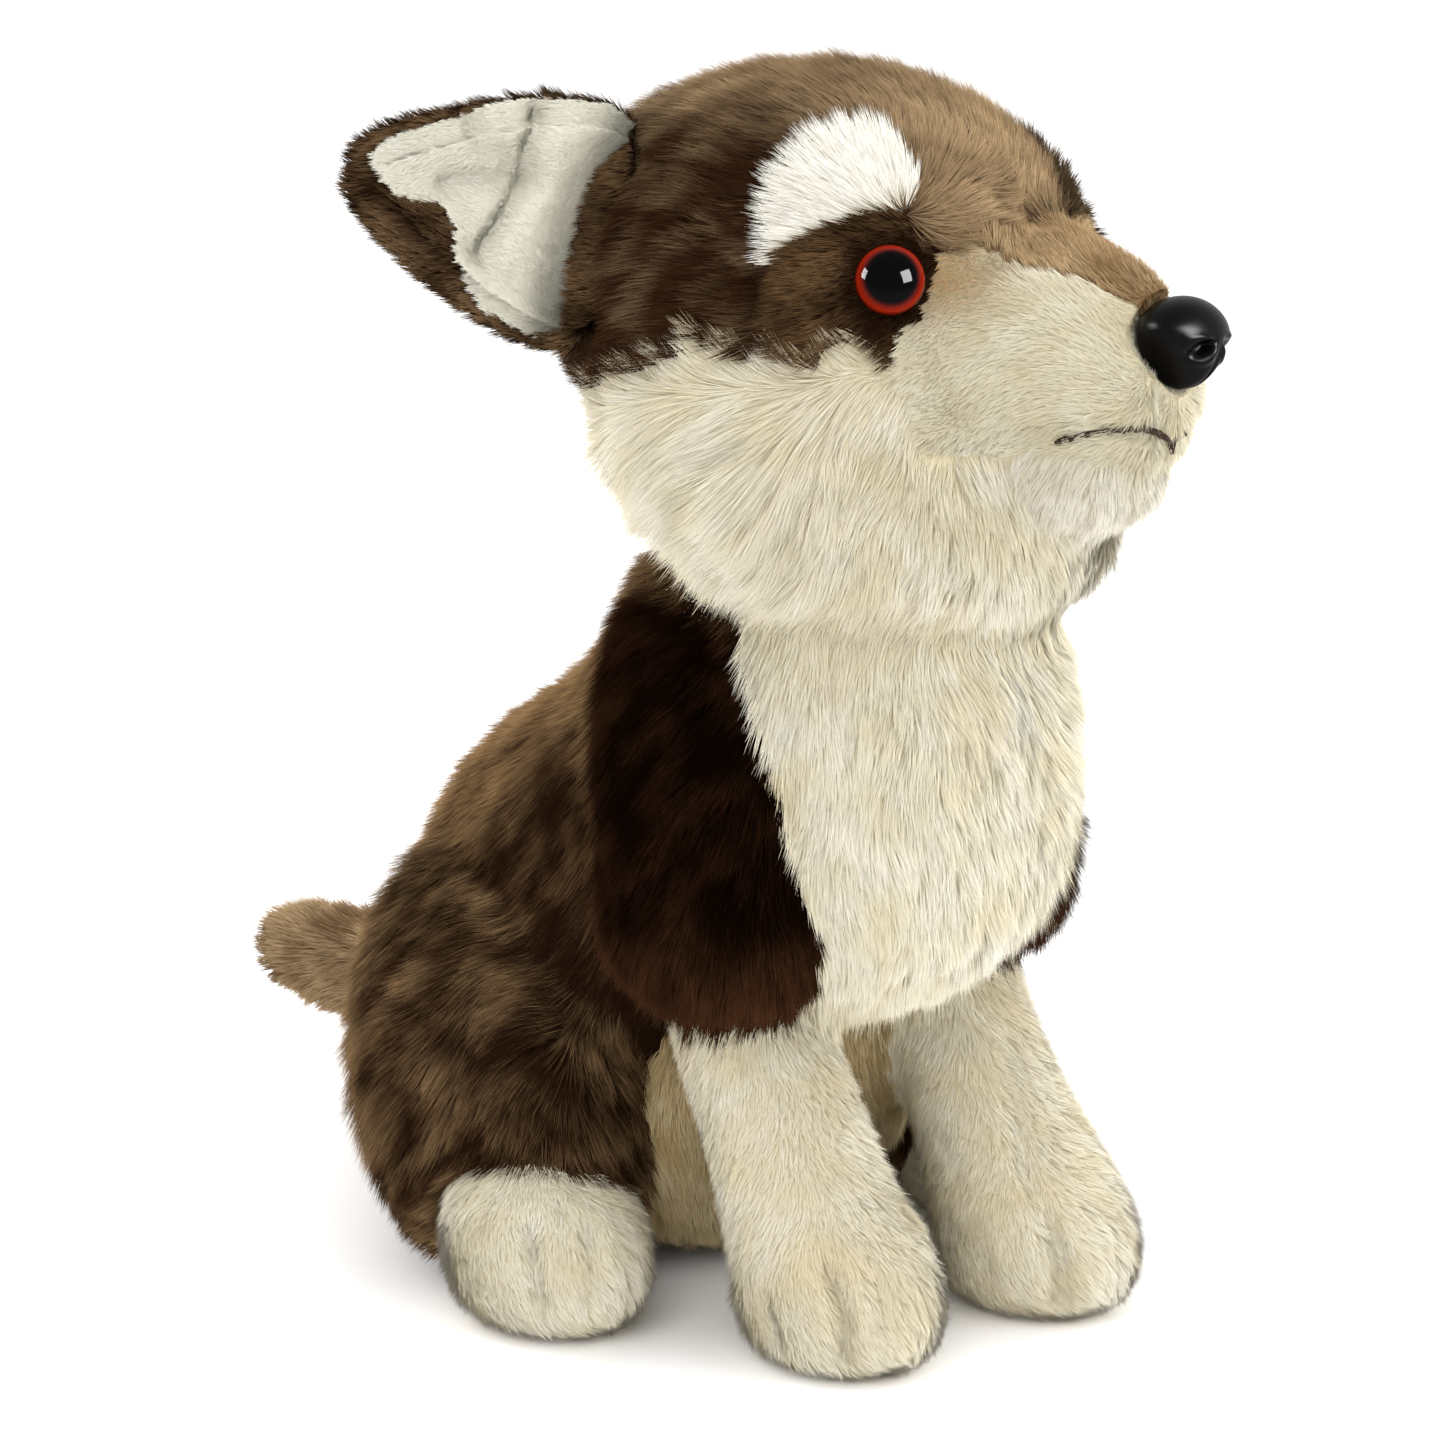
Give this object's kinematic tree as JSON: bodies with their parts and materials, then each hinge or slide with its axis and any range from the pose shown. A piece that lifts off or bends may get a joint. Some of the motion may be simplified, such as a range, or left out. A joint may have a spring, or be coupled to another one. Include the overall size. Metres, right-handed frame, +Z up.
{
  "type": "plush wolf",
  "caption": "Seated plush wolf cub in brown and cream pile, head turned, with upright ears, a moulded nose, safety eyes and a short tail, resting on flat soles.",
  "frame": {"origin": "middle of the bounding box's base, on the surface the wolf sits on", "axes": "+Z up, -Y the way the body faces, -X the wolf's own right side"},
  "size_m": [0.1936, 0.2804, 0.2898],
  "materials": {
    "belly": "plush pile",
    "bridge_strip": "plush pile",
    "chest_bib": "plush pile",
    "chin": "plush pile",
    "head_crown": "plush pile",
    "left_brow_patch": "plush pile",
    "left_cheek": "plush pile",
    "left_ear_back": "plush pile",
    "left_ear_lining": "plush pile",
    "left_eye_patch": "plush pile",
    "left_front_leg": "plush pile",
    "left_hind_paw": "plush pile",
    "left_shoulder_sleeve": "plush pile",
    "left_thigh": "plush pile",
    "mouth_stitch": "embroidered thread",
    "muzzle": "plush pile",
    "right_brow_patch": "plush pile",
    "right_cheek": "plush pile",
    "right_ear_back": "plush pile",
    "right_ear_lining": "plush pile",
    "right_eye_patch": "plush pile",
    "right_front_leg": "plush pile",
    "right_hind_paw": "plush pile",
    "right_shoulder_sleeve": "plush pile",
    "right_thigh": "plush pile",
    "tail": "plush pile",
    "torso": "plush pile",
    "left_eye": "polished",
    "left_eye_washer": "natural",
    "nose": "polished",
    "nose_washer": "natural",
    "right_eye": "polished",
    "right_eye_washer": "natural"
  },
  "bodies": {
    "root": {"belly": "belly", "bridge_strip": "bridge_strip", "chest_bib": "chest_bib", "chin": "chin", "head_crown": "head_crown", "left_brow_patch": "left_brow_patch", "left_cheek": "left_cheek", "left_ear_back": "left_ear_back", "left_ear_lining": "left_ear_lining", "left_eye": "left_eye", "left_eye_patch": "left_eye_patch", "left_eye_washer": "left_eye_washer", "left_front_leg": "left_front_leg", "left_hind_paw": "left_hind_paw", "left_shoulder_sleeve": "left_shoulder_sleeve", "left_thigh": "left_thigh", "mouth_stitch": "mouth_stitch", "muzzle": "muzzle", "nose": "nose", "nose_washer": "nose_washer", "right_brow_patch": "right_brow_patch", "right_cheek": "right_cheek", "right_ear_back": "right_ear_back", "right_ear_lining": "right_ear_lining", "right_eye": "right_eye", "right_eye_patch": "right_eye_patch", "right_eye_washer": "right_eye_washer", "right_front_leg": "right_front_leg", "right_hind_paw": "right_hind_paw", "right_shoulder_sleeve": "right_shoulder_sleeve", "right_thigh": "right_thigh", "tail": "tail", "torso": "torso"}
  },
  "joints": []
}
